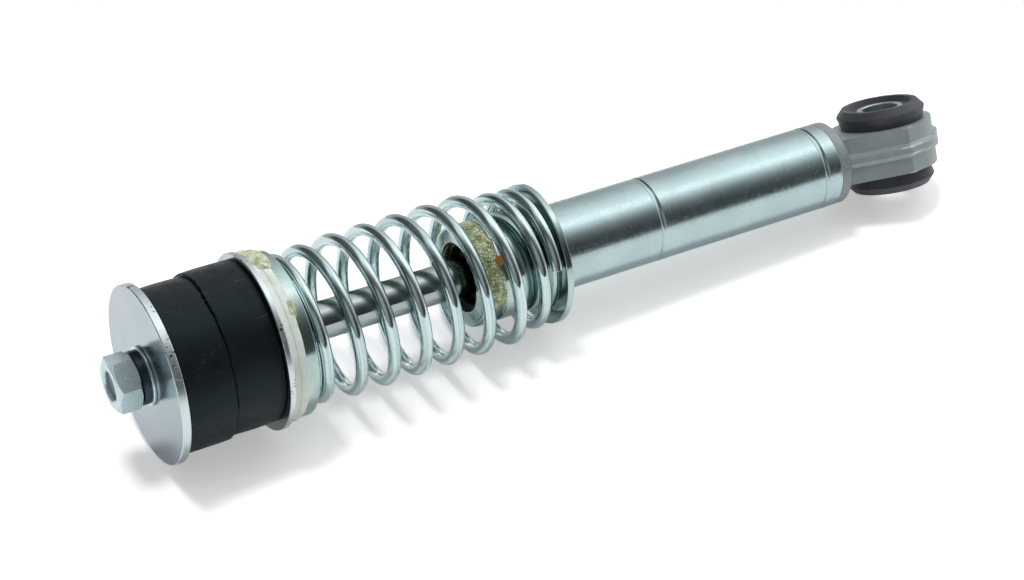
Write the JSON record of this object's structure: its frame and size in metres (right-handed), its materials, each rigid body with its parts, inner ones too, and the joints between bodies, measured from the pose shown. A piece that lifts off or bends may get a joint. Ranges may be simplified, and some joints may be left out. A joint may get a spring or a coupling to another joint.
{
  "type": "washing machine shock absorber",
  "caption": "Sprung friction damper for a washing machine's tub: a threaded stud with rubber buffers, a coil spring round the rod, a tube, and an eye with a rubber bush.",
  "frame": {"origin": "middle of the bore in the eye's steel sleeve, on the strut's axis", "axes": "+X along the strut from the threaded stud to the eye, +Z along the eye's bore"},
  "size_m": [0.322, 0.06, 0.06],
  "materials": {
    "zinc": "bright zinc plate",
    "spring_steel": "bright zinc plate, scratched",
    "rod_chrome": "polished and greased",
    "dark_steel": "blackened",
    "buffer_rubber": "dull, dusty",
    "bush_rubber": "satin",
    "ivory_nylon": "matte",
    "black_nylon": "matte",
    "grey_nylon": "satin, moulded",
    "felt": "soaked in grease"
  },
  "bodies": {
    "tube": {"damper_tube": "zinc", "spring_hat": "zinc", "guide_bush": "black_nylon", "lining_cage": "black_nylon", "friction_lining": "felt", "eye_housing": "grey_nylon", "eye_bush": "bush_rubber", "eye_sleeve": "zinc"},
    "spring": {"coil_spring": "spring_steel"},
    "rod": {"piston_rod": "rod_chrome", "rebound_buffer": "buffer_rubber", "stop_washer": "zinc", "retaining_ring": "dark_steel", "spring_cup": "zinc", "centring_ring": "ivory_nylon", "flange_disc": "zinc", "rear_buffer": "buffer_rubber", "front_buffer": "buffer_rubber", "spacer_sleeve": "zinc", "front_plate": "zinc", "plain_washer": "zinc", "spring_lock_washer": "dark_steel", "lock_nut": "zinc"}
  },
  "joints": [
    {"name": "rod_turn", "type": "hinge", "parent": "tube", "child": "spring", "pos_m": [0, 0, 0], "axis": [1, 0, 0], "continuous": true},
    {"name": "rod_slide", "type": "slide", "parent": "spring", "child": "rod", "axis": [1, 0, 0], "range_m": [0, 0.045], "stiffness_N_per_m": 5000, "springref_m": -0.02, "deforming": ["coil_spring"]}
  ]
}
